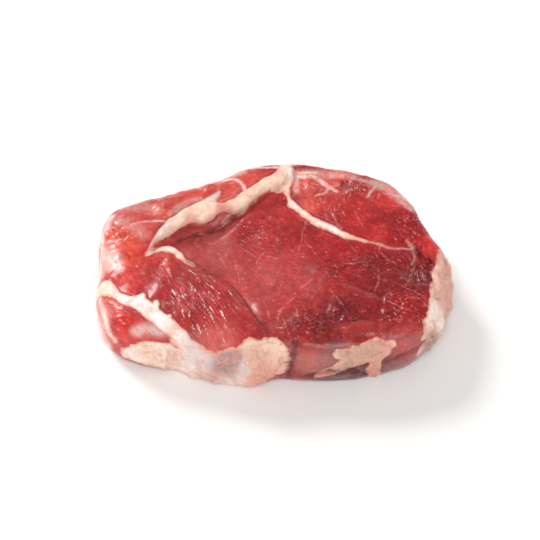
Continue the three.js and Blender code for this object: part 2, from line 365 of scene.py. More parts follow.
lift += upper * broad * (0.2 + 1.2 * waves((10, 10, 10), 22))
lift -= 0.4 * upper * np.exp(-(((fat + 0.7) / 0.8) ** 2))

# The fat cap: the thick outer fat left on the front and the right end, cream with pink patches, pulled into
# soft lumps by the string that held the roll. It is measured round the side, in space.
FAT_CAP = {
    "front": [
        (-79, -54, 12, 6), (-72, -57, 14, 10), (-63, -59, 15, 12.5), (-54, -62, 14, 13), (-45, -65, 13, 12.5),
        (-35, -68, 13, 12), (-25, -70, 12, 13), (-14, -71, 14, 14), (-6, -69, 16, 11.5), (1, -68, 16, 6.8),
    ],
    "lump side": [(-9, -69, 23, 5), (-4, -68, 23, 5.5), (0, -66, 22, 5)],
    "lump": [(-19, -67, 29, 4.5), (-13, -66, 30, 6.5), (-6, -65, 30, 6.8), (1.5, -65, 28, 5.8),
             (4.5, -66, 22, 4.2)],
    "flank": [(34, -67, 28, 3), (42, -66, 27, 6), (50, -65, 26, 8), (57, -62, 27, 7), (61, -61, 29, 3)],
    "flank tail": [(45, -66, 23, 6), (37, -68, 20, 5), (30, -69, 15, 4), (23, -69, 10, 2.6)],
    "flank foot": [(54, -64, 20, 5), (53, -65, 12, 4), (54, -64, 5, 3)],
    "right end": [
        (95, 8, 27, 2.6), (97, 0, 24, 6), (98, -8, 22, 10), (98, -15, 20, 12), (96, -23, 19, 13),
        (94, -31, 19, 13), (91, -39, 18, 12), (87, -46, 16, 11), (83, -52, 14, 8),
    ],
    "right rim": [
        (92, 2, 31, 2.4), (93, -7, 31, 4), (92, -14, 31, 5.4), (91, -21, 31, 6), (89, -28, 32, 5.4),
        (88, -35, 32, 4.6), (87, -41, 30, 4.6), (84, -48, 28, 4.6), (82, -52, 24, 4),
    ],
}
far_side = smooth(place[:, 1], -30, -8) * smooth(np.abs(facing[:, 2]), 0.65, 0.3)
cap = np.full(count, -float(FAR))
for points in FAT_CAP.values():
    distance, half, along, side = nearest(points, round_the_side=True)
    cap = np.maximum(cap, half - distance)
cap += 1.4 * waves((9, 9, 6), 15) + 0.7 * waves((3, 3, 3), 16)
cap = np.maximum(cap, 7 * waves((26, 26, 14), 17) * far_side - 3.6)
fat = np.maximum(fat, cap)
cap_fat = smooth(cap, 0, 3)
lift += cap_fat * (1.3 * waves((10, 10, 8), 6) + 0.9 * waves((4.5, 4.5, 4), 7))
lift += cap_fat * (0.9 * np.abs(waves((7, 7, 7), 18)) ** 0.6 - 0.4)

# The fat's own tones, from clean suet white to the pink of thin or blood-stained fat and the lilac of fat
# under silverskin: x, y, z and reach in mm.
TALLOW = {
    "white": "#fbf1ea",
    "ivory": "#f8e6db",
    "cream": "#f5d2bb",
    "peach": "#e2b3a1",
    "pink": "#d99a89",
    "rosy": "#cc7a70",
    "mauve": "#a07b7c",
    "sand": "#c39a85",
    "lilac": "#dccdcb",
}
TALLOW_PLACES = [
    (-66, 6, 35, 6, "mauve"), (-64, 13, 35, 4, "lilac"), (-60, 14, 35, 5, "peach"), (-53, 20, 36, 6, "cream"),
    (-48, 21, 36, 4, "pink"), (-40, 29, 38, 6, "cream"), (-33, 42, 36, 4, "lilac"),
    (-36, 24, 37, 3, "peach"), (-28, 28, 38, 5, "rosy"), (-26, 25, 33, 4, "rosy"),
    (-22, 33, 38, 5, "cream"), (-12, 43, 37, 6, "cream"), (-3, 52, 36, 6, "cream"), (3, 46, 35, 3, "pink"),
    (4, 57, 36, 4, "peach"), (10, 58, 36, 4, "ivory"),
    (9, 50, 35, 5, "cream"), (10, 34, 35, 6, "ivory"), (28, 16, 35, 8, "ivory"), (44, 9, 35, 5, "cream"),
    (56, 5, 35, 5, "pink"), (-92, -24, 30, 6, "cream"), (-74, -37, 35, 9, "white"),
    (-63, -45, 35, 9, "white"),
    (-52, -57, 31, 6, "ivory"), (-47, -58, 31, 3, "lilac"), (-60, 3, 35, 7, "ivory"),
    (-66, -59, 18, 9, "cream"), (-76, -56, 14, 6, "ivory"),
    (-54, -62, 16, 5, "pink"), (-50, -63, 9, 9, "ivory"), (-60, -60, 24, 5, "ivory"),
    (-42, -63, 28, 7, "lilac"),
    (-36, -67, 20, 5, "lilac"), (-29, -69, 19, 7, "mauve"), (-21, -69, 26, 4, "mauve"),
    (-17, -71, 21, 4, "lilac"),
    (-26, -70, 6, 5, "ivory"), (-38, -67, 8, 5, "peach"), (-10, -67, 26, 6, "peach"),
    (-6, -70, 14, 7, "pink"),
    (-12, -62, 33, 5, "cream"), (0, -64, 30, 5, "cream"), (2, -67, 18, 4, "peach"), (40, -66, 28, 5, "sand"),
    (50, -65, 30, 5, "sand"), (57, -62, 27, 4, "pink"), (53, -65, 24, 6, "sand"), (43, -67, 22, 5, "sand"),
    (50, -66, 8, 7, "rosy"),
    (28, -69, 13, 5, "rosy"), (94, 2, 30, 5, "peach"), (98, -14, 22, 8, "pink"), (92, -16, 32, 4, "peach"),
    (95, -28, 22, 8, "pink"), (88, -40, 28, 6, "ivory"), (86, -50, 14, 6, "mauve"), (90, -30, 31, 4, "peach"),
]
tallow = painted(TALLOW_PLACES, TALLOW, "cream")

# Painted shade: the sides are darkened towards brown near the foot of the slice, where it stands in its own
# shade.
foot_shade = (1 - smooth(place[:, 2], 0, 10)) * smooth(facing[:, 2], -0.9, -0.2)
for skin_colour, foot_shade_strength in ((flesh, 0.75), (tallow, 0.5)):
    skin_colour += foot_shade_strength * foot_shade[:, None] * (np.array(linear("#5a2c2a")) - skin_colour)

# Silverskin: the thin pale film of connective tissue that wraps each muscle. It shows as a milky or lilac
# sheen along the rim and as fine threads where the knife caught it. Each has how much it hides.
FILMS = [
    (0.6, [(-91, 27, 31, 2), (-94, 19, 31, 3), (-95.5, 12, 29, 2.6)]),
    (0.75, [(-96, 18, 26, 2.4), (-97, 9, 27, 3), (-97.5, 0, 26, 3.2), (-97, -7, 24, 2.6)]),
    (0.6, [(-95, 2, 29, 3.5), (-92, -4, 31, 4), (-90, -10, 32, 2.5)]),
    (0.7, [(-81, 19, 36, 0.4), (-76, 21.5, 35, 0.5), (-69, 23, 34, 0.6), (-62, 23, 33, 0.5)]),
    (0.7, [(-93, 8, 32, 0.8), (-89, 7, 35, 0.6), (-85, 8, 36, 0.3)]),
    (0.2, [(-82, 31, 34, 2.5), (-74, 33, 34, 4), (-66, 30, 34, 3)]),
    (0.22, [(-86, 20, 35, 3), (-79, 18, 35, 5), (-74, 13, 35, 4)]),
    (0.3, [(-60, 28, 34, 1.2), (-55, 32, 34, 2.2), (-49, 36, 35, 2), (-42, 39, 35, 1.4)]),
    (0.5, [(-29, 22.5, 31, 0.8), (-26, 25, 31, 1.2), (-23, 28, 33, 0.8)]),
    (0.35, [(-31, 57, 33, 1.5), (-24, 59, 33, 2.2), (-17, 60, 33, 1.6)]),
    (0.9, [(-30, 54, 34, 0.6), (-26, 55, 34, 1), (-22, 54, 35, 0.9), (-18, 50, 34, 0.8), (-16.5, 43, 37, 1)]),
    (0.8, [(-48.5, -7, 33, 0.9), (-44, -10, 33, 0.6), (-38, -15, 33, 0.3)]),
    (0.7, [(8, 61, 36, 1.6), (14, 58, 34, 1.8), (23, 57, 34, 1.8), (30, 50, 35, 1.2), (36, 44, 36, 0.7)]),
    (0.4, [(53, 39, 36, 0.5), (56, 45, 35, 0.8), (60, 51, 34, 1.2), (66, 46, 34, 1.2)]),
    (0.35, [(24, 41, 36, 0.6), (29, 43, 36, 0.9), (31, 47, 36, 0.9), (37, 50, 34, 0.7)]),
    (0.38, [(50, 54, 34, 1.6), (59, 52, 34, 3), (66, 47, 34, 4), (74, 39, 33, 4.6), (78, 31, 34, 1.5)]),
    (0.3, [(12, 60, 34, 2.5), (24, 60, 34, 3), (36, 58, 34, 2.5), (46, 56, 34, 2)]),
    (0.13, [(8, -65, 25, 6), (16, -67, 22, 8), (26, -68, 24, 7), (35, -66, 28, 6)]),
    (0.06, [(60, -61, 29, 6), (70, -59, 26, 9), (80, -54, 24, 8)]),
    (0.08, [(64, -62, 12, 5), (76, -56, 12, 7), (84, -50, 12, 6)]),
    (0.55, [(58, 5, 35, 0.7), (66, 2, 34, 0.4), (72, 3, 33, 0.4), (77, 3, 32, 0.3)]),
    (0.35, [(74, 8, 33, 0.6), (77, 3, 32, 0.8), (78, -2, 32, 0.5), (76, -8, 32, 0.4)]),
    (0.75, [(-96, -28, 25, 2.4), (-94, -38, 27, 3), (-91, -45, 25, 2.8), (-87, -51, 19, 2)]),
    (0.65, [(-97, -30, 16, 3), (-95, -39, 14, 3.5), (-91, -47, 11, 3)]),
    (0.4, [(-88, -2, 33, 2), (-85, -7, 33, 3), (-84, -13, 33, 2)]),
    (0.4, [(12.5, 57, 35, 1.5), (12.5, 51, 35, 2), (13, 45, 35, 1.5)]),
    (0.5, [(-91, -30, 28, 0.8), (-89, -38, 28, 0.7), (-85, -45, 28, 0.5)]),
    (0.5, [(-74, -53, 30, 3), (-67, -52, 31, 3.4), (-60, -54, 31, 3)]),
]
film = 0.34 * far_side * smooth(waves((24, 24, 12), 20), -0.2, 0.7)
for strength, points in FILMS:
    around = points[0][2] < 32 and points[-1][2] < 33
    distance, half, along, side = nearest(points, round_the_side=around)
    soft = np.maximum(0.7 * half, 0.7)
    film = np.maximum(film, strength * smooth((half - distance) / soft, -1, 1))

# Marbling: threads of fat inside the muscles, a few tenths of a millimetre wide. Each is kept as a signed
# distance to its line, so that the shader draws it sharper than the skin's own points are apart.
THREADS = [
    [(18, 21), (16, 15), (14, 2)], [(17, 8), (23, -2)], [(40, -9), (48, -8)],
    [(59, 4), (59, -1), (63, -6), (66, -8)], [(54, -11), (57, -14), (57, -22), (55, -27)],
    [(76, -4), (78, -7), (76, -13), (73, -22)], [(70, -26), (74, -29), (80, -32)], [(20, -20), (15, -25)],
    [(30, -28), (33, -33), (36, -39)], [(25, 54), (19, 46)], [(55, 48), (54, 39)], [(-6, 1), (-11, -7)],
    [(-16, 3), (-10, -2)], [(-3, -1), (2, -3)], [(-31, 1), (-27, -7)], [(-21, -7), (-19, -18)],
    [(-6, -33), (-3, -44)], [(10, -33), (4, -40), (1, -51)], [(11, -39), (13, -46)], [(5, -48), (7, -55)],
    [(34, 52), (41, 49), (43, 43), (42, 38)], [(39, 58), (41, 51)], [(56, 50), (60, 44), (59, 38)],
    [(28, 47), (24, 41)],
    [(62, -37), (69, -40)], [(74, -33), (79, -35), (84, -41)], [(-17, -28), (-14, -33), (-11, -39),
                                                                (-8, -47)],
    [(40, 10), (36, 18), (33, 26)], [(49, 18), (46, 27)],
]
THREAD_SETS = 3
THREAD_Z = 34
thread_side = [np.full(count, float(FAR)) for _ in range(THREAD_SETS)]
thread_near = [np.full(count, float(FAR)) for _ in range(THREAD_SETS)]
for index, points in enumerate(THREADS):
    chosen = index % THREAD_SETS
    distance, half, along, side = nearest([(x, y, THREAD_Z, 0) for x, y in points])
    mine = distance < thread_near[chosen]
    thread_near[chosen][mine] = distance[mine]
    thread_side[chosen][mine] = (distance * side)[mine]

# The strokes of the flap: painted highlights, near-white glints of 2 to 10 mm laid along its grain.
GLINT_STROKES = [
    [(-48, -14), (-44, -18), (-40, -22)], [(-39, -24), (-35, -27), (-29, -33)],
    [(-38, -29), (-32, -35)], [(-42, -36), (-36, -43), (-33, -49), (-29, -57)], [(-50, -40), (-48, -49)],
    [(-42, -50), (-39, -57)], [(-45, -53), (-42, -55)], [(-27, -53), (-24, -57)], [(-39, -46), (-36, -50)],
    [(-28, -59), (-26, -63)], [(-31, -41), (-26, -50)], [(-49, -32), (-47, -36)], [(-22, -39), (-19, -43)],
    [(-53, -20), (-50, -25)], [(-56, -28), (-53, -34)], [(-47, -24), (-43, -31)], [(-36, -18), (-32, -23)],
    [(-60, -12), (-57, -18)], [(-44, -28), (-42, -33)], [(-34, -36), (-31, -40)], [(-38, -52), (-35, -58)],
    [(-55, -42), (-52, -47)], [(-25, -29), (-22, -34)], [(-29, -43), (-27, -47)], [(-46, -44), (-45, -49)],
]
glint_stroke = np.full(count, -float(FAR))
for points in GLINT_STROKES:
    distance, half, along, side = nearest([(x, y, THREAD_Z, 0) for x, y in points])
    glint_stroke = np.maximum(glint_stroke, 0.3 * np.sin(np.pi * np.clip(along, 0.05, 0.95)) - distance)

# The flap and the clefts: the front left muscle laps over the eye with a rounded lip, and the muscles part in
# a few clefts and folds, darkened as painted shade. Each has its line, its depth, its width and how dark it
# is.
FLAP_LIP = [
    (-69, -2, 35, 1), (-65, 1, 35, 1), (-61, 3, 34, 1), (-56, 3, 33, 1), (-51.5, 0, 33, 1), (-50, -5, 33, 1),
    (-46, -8, 33, 1), (-38, -15, 33, 1), (-31, -18, 33, 1), (-25, -22, 33, 1), (-21, -28, 33, 1),
    (-16, -35, 33, 1), (-13, -42, 33, 1), (-9, -48, 33, 1), (-6, -53, 34, 1), (-4, -59, 34, 1),
]
CLEFTS = [
    (1.5, 1.2, 0.8, [(-60, 6, 32), (-54, 9.5, 32), (-48, 13, 32), (-42, 15, 31), (-35, 18.5, 31),
                     (-29, 21.5, 31),
                     (-25, 25, 33), (-21, 28, 34), (-15, 33, 34), (-10, 38, 35), (-5, 43, 35)]),
    (2.4, 1.0, 0.8, [(77, 4, 32), (81, -1, 31), (85, -5, 31), (89, -9, 31)]),
    (0.5, 1.6, 0.35, [(39, -17, 34), (46, -23, 34), (52, -29, 34), (60, -35, 35)]),
    (1.1, 1.4, 0.45, [(30, -50, 35), (35, -54, 35), (40, -51, 35), (46, -48, 35), (52, -50, 35),
                      (57, -53, 35)]),
    (0.7, 1.2, 0.3, [(53, -34, 35), (56, -37, 36), (60, -40, 35), (63, -43, 35)]),
    (0.6, 1.0, 0.3, [(24, -50, 35), (22, -56, 34), (24, -62, 34), (28, -65, 32)]),
    (0.6, 0.9, 0.4, [(-14, 31, 34), (-7, 32, 34), (-2, 29, 34), (6, 20, 34)]),
    (0.5, 0.9, 0.3, [(-9, 27, 34), (-2, 23, 34), (3, 15, 34)]),
    (1.4, 3.0, 0.45, [(38, 52, 35), (41, 50, 35), (45, 48, 35), (48, 47, 35)]),
    (0.7, 1.0, 0.35, [(-62, 27, 34), (-52, 33, 34), (-44, 37, 35), (-36, 44, 35)]),
    (0.6, 1.1, 0.3, [(-82, 20, 35), (-74, 23, 35), (-66, 24, 34)]),
    (0.8, 1.3, 0.3, [(-86, -4, 34), (-80, -5, 34), (-72, -2, 35)]),
    (2.0, 1.8, 1, [(10, -60, 34), (11, -63, 32), (10, -65, 27), (9, -65, 18), (8, -66, 12), (7, -66, 0)]),
    (1.2, 2.2, 0.8, [(14, -67, 8), (19, -68, 10), (28, -68, 13), (36, -68, 15), (46, -67, 13), (52, -65, 5)]),
    # These two run along the foot of the front wall and paint the shade there.
    (0.4, 3.6, 0.6, [(20, -69, 3), (29, -69, 5), (38, -69, 6), (46, -68, 5)]),
    (0.4, 3.6, 0.5, [(60, -65, 4), (68, -62, 6), (77, -57, 6), (84, -51, 5)]),
    (1.2, 1.8, 0.75, [(58, -64, 16), (63, -63, 17), (70, -60, 20), (79, -55, 20), (85, -50, 18)]),
    (0.8, 1.1, 0.5, [(84, 2, 32), (86, -6, 31), (86, -14, 31), (84, -22, 33)]),
]
distance, half, along, side = nearest(FLAP_LIP)
lapping = np.sin(np.pi * np.clip(along, 0.02, 0.98)) ** 0.6
eye_side = (side > 0) & (distance < FAR)
step_down = -1.6 * np.exp(-((distance / 3.2) ** 2))
step_up = 1.2 * np.exp(-((distance / 2.6) ** 2))
lift += upper * lapping * np.where(eye_side, step_down, step_up)
# Painted shadow: the eye's side of the lip is darkened where the lip shades it.
lip_shadow = np.where(eye_side, np.exp(-((distance / 2.2) ** 2)), np.exp(-((distance / 0.5) ** 2)))
cleft_shade = 0.75 * lip_shadow * smooth(along, 0.22, 0.5) * (1 - smooth(along, 0.88, 1))
for depth, wide, strength, points in CLEFTS:
    around = min(z for x, y, z in points) < 30
    distance, half, along, side = nearest([point + (1,) for point in points], round_the_side=around)
    taper = smooth(along, 0, 0.15) * (1 - smooth(along, 0.85, 1)) * (0.75 + 0.4 * waves((5, 5, 5), 21))
    shape = np.exp(-((distance / wide) ** 2)) * np.clip(taper, 0, 1)
    lift -= depth * shape
    cleft_shade = np.maximum(cleft_shade, strength * shape)

# The fluted patch at the back right and the torn pit: fibres that the knife dragged into rows of wet ridges.
FLUTES = [
    # x, y, reach, direction across the ridges, spacing and height
    (79, 24, 13, 118, 2.2, 0.4), (80, -16, 12, 12, 2.6, 0.5), (-40, -40, 16, 32, 3.1, 0.25),
]
wander = waves((8, 8, 8), 8)
for x, y, reach, turn, spacing, height in FLUTES:
    turn = math.radians(turn)
    line = (place[:, 0] * math.cos(turn) + place[:, 1] * math.sin(turn)) / spacing + 0.45 * wander
    lift += height * upper * patches([(x, y, reach, 1)]) * np.sin(2 * np.pi * line)

# Relief above TOP is pressed flatter, over SPARE mm, so that the slice keeps its thickness.
TOP = 37.3
SPARE = 1.6
resting = smooth(place[:, 2], 0.3, 2.5)
moved = place + facing * (lift * resting)[:, None]
over = np.clip(moved[:, 2] - TOP, 0, None)
moved[:, 2] += SPARE * (1 - np.exp(-over / SPARE)) - over
moved[:, 2] = np.maximum(moved[:, 2], 0)
beef.data.vertices.foreach_set("co", (moved * MM).ravel())
beef.data.update()

for name, values in {
    "fat": fat, "cap": cap_fat, "film": film, "cleft_shade": cleft_shade, "wet": wet, "satin": satin,
    "glint_stroke": glint_stroke, "thread_1": thread_side[0], "thread_2": thread_side[1], "thread_3": thread_side[2],
}.items():
    beef.data.attributes.new(name, "FLOAT", "POINT").data.foreach_set("value", values)
beef.data.attributes.new("grain", "FLOAT_VECTOR", "POINT").data.foreach_set("vector", grain.ravel())
for name, values in {"flesh": flesh, "tallow": tallow}.items():
    beef.data.attributes.new(name, "FLOAT_COLOR", "POINT").data.foreach_set("color", values.ravel())

# Raw beef, freshly cut: water-rich muscle that light sinks into, cream fat and milky silverskin under one
# thin film of juice. The juice gives small sharp highlights over a soft body, so it is a coat on a rougher
# base.
raw_beef = bpy.data.materials.new("raw_beef")
raw_beef.use_nodes = True
tree = raw_beef.node_tree
tree.nodes.clear()


def add(kind, settings, inputs):
    """A node with its settings. Each input is set to a value or joined to another node's output."""
    made = tree.nodes.new(kind)
    for name, value in settings.items():
        setattr(made, name, value)
    for name, value in inputs.items():
        if isinstance(value, bpy.types.NodeSocket):
            tree.links.new(value, made.inputs[name])
        else:
            made.inputs[name].default_value = value
    return made.outputs


PER_MM = 1 / MM
COLOUR_MIX = {"data_type": "RGBA"}
SMOOTHLY = {"interpolation_type": "SMOOTHSTEP"}
where = add("ShaderNodeTexCoord", {}, {})["Object"]
kept = {
    name: add("ShaderNodeAttribute", {"attribute_name": name}, {})
    for name in ("fat", "cap", "film", "cleft_shade", "wet", "satin", "glint_stroke", "thread_1", "thread_2", "thread_3",
                 "grain", "flesh", "tallow")
}

# Grain of the flesh: bundles of fibre about 1.3 mm wide with pale walls, blotches of 13 mm and of 4 mm, and
# pale flecks of 1 mm.
fine = add("ShaderNodeTexNoise", {},
           {"Vector": where, "Scale": PER_MM / 2.4, "Detail": 4.0, "Roughness": 0.6})
bend = add("ShaderNodeVectorMath", {"operation": "MULTIPLY_ADD"},
           {0: fine["Color"], 1: (0.9, 0.9, 0.9), 2: kept["grain"]["Vector"]})
lobule_at = add("ShaderNodeVectorMath", {"operation": "MULTIPLY_ADD"},
                {0: fine["Color"], 1: (0.004, 0.004, 0.004), 2: where})
bundle = add("ShaderNodeTexVoronoi", {}, {"Vector": bend["Vector"], "Scale": 1.0})
wall = add("ShaderNodeTexVoronoi", {"feature": "DISTANCE_TO_EDGE"}, {"Vector": bend["Vector"], "Scale": 1.0})
fibres = add("ShaderNodeTexNoise", {},
             {"Vector": kept["grain"]["Vector"], "Scale": 1.6, "Detail": 3.0, "Roughness": 0.6})
blotches = add("ShaderNodeTexNoise", {},
               {"Vector": where, "Scale": PER_MM / 13, "Detail": 3.0, "Roughness": 0.55})
mottle = add("ShaderNodeTexNoise", {},
             {"Vector": where, "Scale": PER_MM / 5, "Detail": 3.0, "Roughness": 0.6})
flecks = add("ShaderNodeTexNoise", {},
             {"Vector": where, "Scale": PER_MM / 1.1, "Detail": 2.0, "Roughness": 0.5})
tone = add("ShaderNodeMapRange", {}, {0: blotches["Fac"], 1: 0.3, 2: 0.7, 3: 0.8, 4: 1.18})[0]
for layer, spread in ((mottle["Fac"], 0.18), (bundle["Color"], 0.05)):
    layer = add("ShaderNodeMapRange", {}, {0: layer, 1: 0.3, 2: 0.7, 3: 1 - spread, 4: 1 + spread})[0]
    tone = add("ShaderNodeMath", {"operation": "MULTIPLY"}, {0: tone, 1: layer})[0]
fibre_tone = add("ShaderNodeMath", {"operation": "SUBTRACT"}, {0: fibres["Fac"], 1: 0.5})[0]
fibre_depth = add("ShaderNodeMapRange", {}, {0: kept["wet"]["Fac"], 1: 0.0, 2: 1.0, 3: 0.7, 4: 1.5})[0]
tone = add("ShaderNodeMath", {"operation": "MULTIPLY_ADD"}, {0: fibre_tone, 1: fibre_depth, 2: tone})[0]
colour = add("ShaderNodeHueSaturation", {}, {"Value": tone, "Color": kept["flesh"]["Color"]})["Color"]
PALE = linear("#d9766a")
wall_share = add("ShaderNodeMapRange", {}, {0: wall["Distance"], 1: 0.02, 2: 0.14, 3: 0.05, 4: 0.0})[0]
colour = add("ShaderNodeMix", COLOUR_MIX, {0: wall_share, 6: colour, 7: PALE})[2]
fleck_share = add("ShaderNodeMapRange", {}, {0: flecks["Fac"], 1: 0.6, 2: 0.76, 3: 0.0, 4: 0.16})[0]
fleck_there = add("ShaderNodeMapRange", {}, {0: mottle["Fac"], 1: 0.45, 2: 0.6, 3: 0.1, 4: 1.0})[0]
fleck_share = add("ShaderNodeMath", {"operation": "MULTIPLY"}, {0: fleck_share, 1: fleck_there})[0]
colour = add("ShaderNodeMix", COLOUR_MIX, {0: fleck_share, 6: colour, 7: linear("#e07a66")})[2]

# Wet streaks: painted glints, pale stretches about 1 mm wide and 5 mm long along the grain, where juice
# stands on the cut.
streak_at = add("ShaderNodeVectorMath", {"operation": "MULTIPLY"},
                {0: kept["grain"]["Vector"], 1: (1.5, 0.85, 1.0)})
streak_noise = add("ShaderNodeTexNoise", {},
                   {"Vector": streak_at["Vector"], "Scale": 1.0, "Detail": 2.0, "Roughness": 0.65})
glint_streak_line = add("ShaderNodeMapRange", {}, {0: streak_noise["Fac"], 1: 0.62, 2: 0.69, 3: 0.0, 4: 0.95})[0]
glint_streak_share = add("ShaderNodeMath", {"operation": "MULTIPLY"}, {0: glint_streak_line, 1: kept["wet"]["Fac"]})[0]
colour = add("ShaderNodeMix", COLOUR_MIX, {0: glint_streak_share, 6: colour, 7: linear("#f5cdc4")})[2]

# Fine pale streaks along the grain, and specks of fat half a millimetre across, all over the cut.
grain_line = add("ShaderNodeMapRange", {}, {0: fibres["Fac"], 1: 0.54, 2: 0.7, 3: 0.0, 4: 0.42})[0]
grain_there = add("ShaderNodeMapRange", {}, {0: mottle["Fac"], 1: 0.4, 2: 0.6, 3: 0.15, 4: 1.0})[0]
grain_share = add("ShaderNodeMath", {"operation": "MULTIPLY"}, {0: grain_line, 1: grain_there})[0]
colour = add("ShaderNodeMix", COLOUR_MIX, {0: grain_share, 6: colour, 7: linear("#db6d5e")})[2]
speck = add("ShaderNodeTexVoronoi", {}, {"Vector": lobule_at["Vector"], "Scale": PER_MM / 5.5})
speck_share = add("ShaderNodeMapRange", {}, {0: speck["Distance"], 1: 0.02, 2: 0.13, 3: 0.6, 4: 0.0})[0]
colour = add("ShaderNodeMix", COLOUR_MIX, {0: speck_share, 6: colour, 7: linear("#eba597")})[2]

# Threads: the listed ones wander by about half a millimetre and come and go. Finer ones lie between them
# where a noise of 6 mm crosses its middle.
THREAD_HALF = 0.28
sway = add("ShaderNodeMapRange", {}, {0: mottle["Fac"], 1: 0.25, 2: 0.75, 3: -0.9, 4: 0.9})[0]
presence = add("ShaderNodeMapRange", {}, {0: fine["Fac"], 1: 0.38, 2: 0.6, 3: 0.05, 4: 0.5})[0]
for index in range(1, THREAD_SETS + 1):
    off = add("ShaderNodeMath", {"operation": "ADD"}, {0: kept[f"thread_{index}"]["Fac"], 1: sway})[0]
    off = add("ShaderNodeMath", {"operation": "ABSOLUTE"}, {0: off})[0]
    share = add("ShaderNodeMapRange", {}, {0: off, 1: 0.0, 2: 2.4 * THREAD_HALF, 3: 1.0, 4: 0.0})[0]
    share = add("ShaderNodeMath", {"operation": "MULTIPLY"}, {0: share, 1: presence})[0]
    colour = add("ShaderNodeMix", COLOUR_MIX, {0: share, 6: colour, 7: linear("#e09c90")})[2]
# Painted highlights: the flap's glint strokes in near white.
glint_stroke_edge = add("ShaderNodeMath", {"operation": "MULTIPLY_ADD"},
                  {0: fine["Fac"], 1: 1.6, 2: kept["glint_stroke"]["Fac"]})[0]
glint_stroke_share = add("ShaderNodeMapRange", {}, {0: glint_stroke_edge, 1: 0.6, 2: 1.0, 3: 0.0, 4: 0.9})[0]
colour = add("ShaderNodeMix", COLOUR_MIX, {0: glint_stroke_share, 6: colour, 7: linear("#fadfd8")})[2]
web = add("ShaderNodeTexNoise", {},
          {"Vector": where, "Scale": PER_MM / 7, "Detail": 1.0, "Roughness": 0.5, "Distortion": 0.6})
web_off = add("ShaderNodeMath", {"operation": "SUBTRACT"}, {0: web["Fac"], 1: 0.5})[0]
web_off = add("ShaderNodeMath", {"operation": "ABSOLUTE"}, {0: web_off})[0]
web_line = add("ShaderNodeMapRange", {}, {0: web_off, 1: 0.003, 2: 0.014, 3: 1.0, 4: 0.0})[0]
web_there = add("ShaderNodeMapRange", {}, {0: mottle["Fac"], 1: 0.5, 2: 0.64, 3: 0.0, 4: 0.4})[0]
web_share = add("ShaderNodeMath", {"operation": "MULTIPLY"}, {0: web_line, 1: web_there})[0]
colour = add("ShaderNodeMix", COLOUR_MIX, {0: web_share, 6: colour, 7: linear("#d98a7d")})[2]

# Silverskin, milky over the red, lilac where it is thick.
film_weave = add("ShaderNodeMath", {"operation": "ADD"}, {0: fine["Fac"], 1: flecks["Fac"]})[0]
film_weave = add("ShaderNodeMapRange", {}, {0: film_weave, 1: 0.75, 2: 1.25, 3: 0.65, 4: 1.2})[0]
film_share = add("ShaderNodeMath", {"operation": "MULTIPLY", "use_clamp": True},
                 {0: kept["film"]["Fac"], 1: film_weave})[0]
film_tone = add("ShaderNodeMapRange", {}, {0: mottle["Fac"], 1: 0.4, 2: 0.6, 3: 0.0, 4: 1.0})[0]
film_colour = add("ShaderNodeMix", COLOUR_MIX, {0: film_tone, 6: linear("#fff0e8"), 7: linear("#f6bcb0")})[2]
colour = add("ShaderNodeMix", COLOUR_MIX, {0: film_share, 6: colour, 7: film_colour})[2]

# Fat: its own tone with softer pink through it, pinker still at its thin edge.
ragged = add("ShaderNodeMath", {"operation": "SUBTRACT"}, {0: fine["Fac"], 1: 0.5})[0]
raggedness = add("ShaderNodeMapRange", {}, {0: kept["cap"]["Fac"], 1: 0.0, 2: 0.5, 3: 1.8, 4: 3.4})[0]
fat_edge = add("ShaderNodeMath", {"operation": "MULTIPLY_ADD"},
               {0: ragged, 1: raggedness, 2: kept["fat"]["Fac"]})[0]
thin_edge = add("ShaderNodeMapRange", {}, {0: kept["cap"]["Fac"], 1: 0.0, 2: 0.5, 3: -0.3, 4: -1.2})[0]
full_edge = add("ShaderNodeMapRange", {}, {0: kept["cap"]["Fac"], 1: 0.0, 2: 0.5, 3: 0.7, 4: 1.8})[0]
fat_share = add("ShaderNodeMapRange", SMOOTHLY, {0: fat_edge, 1: thin_edge, 2: full_edge, 3: 0.0, 4: 1.0})[0]
fat_depth = add("ShaderNodeMapRange", SMOOTHLY, {0: fat_edge, 1: 0.0, 2: 2.4, 3: 0.0, 4: 1.0})[0]
stain = add("ShaderNodeMapRange", SMOOTHLY, {0: mottle["Fac"], 1: 0.46, 2: 0.66, 3: 0.0, 4: 0.5})[0]
lobule = add("ShaderNodeTexVoronoi", {"feature": "DISTANCE_TO_EDGE"},
             {"Vector": lobule_at["Vector"], "Scale": PER_MM / 5})
lobule_rise = add("ShaderNodeMapRange", SMOOTHLY, {0: lobule["Distance"], 1: 0.0, 2: 0.3, 3: 0.0, 4: 1.0})[0]
lobule_wall = add("ShaderNodeMapRange", {}, {0: lobule["Distance"], 1: 0.0, 2: 0.12, 3: 0.28, 4: 0.0})[0]
lobule_wall = add("ShaderNodeMath", {"operation": "MULTIPLY"}, {0: lobule_wall, 1: kept["cap"]["Fac"]})[0]
lobule_rise = add("ShaderNodeMath", {"operation": "MULTIPLY"}, {0: lobule_rise, 1: kept["cap"]["Fac"]})[0]
strand = add("ShaderNodeMapRange", {}, {0: fibres["Fac"], 1: 0.3, 2: 0.7, 3: 0.9, 4: 1.06})[0]
tallow_tone = add("ShaderNodeHueSaturation", {}, {"Value": strand, "Color": kept["tallow"]["Color"]})["Color"]
fat_body = add("ShaderNodeMix", COLOUR_MIX, {0: stain, 6: tallow_tone, 7: linear("#dfa08d")})[2]
fat_body = add("ShaderNodeMix", COLOUR_MIX, {0: lobule_wall, 6: fat_body, 7: linear("#d98f7c")})[2]
fat_colour = add("ShaderNodeMix", COLOUR_MIX, {0: fat_depth, 6: linear("#dd9c8a"), 7: fat_body})[2]
colour = add("ShaderNodeMix", COLOUR_MIX, {0: fat_share, 6: colour, 7: fat_colour})[2]
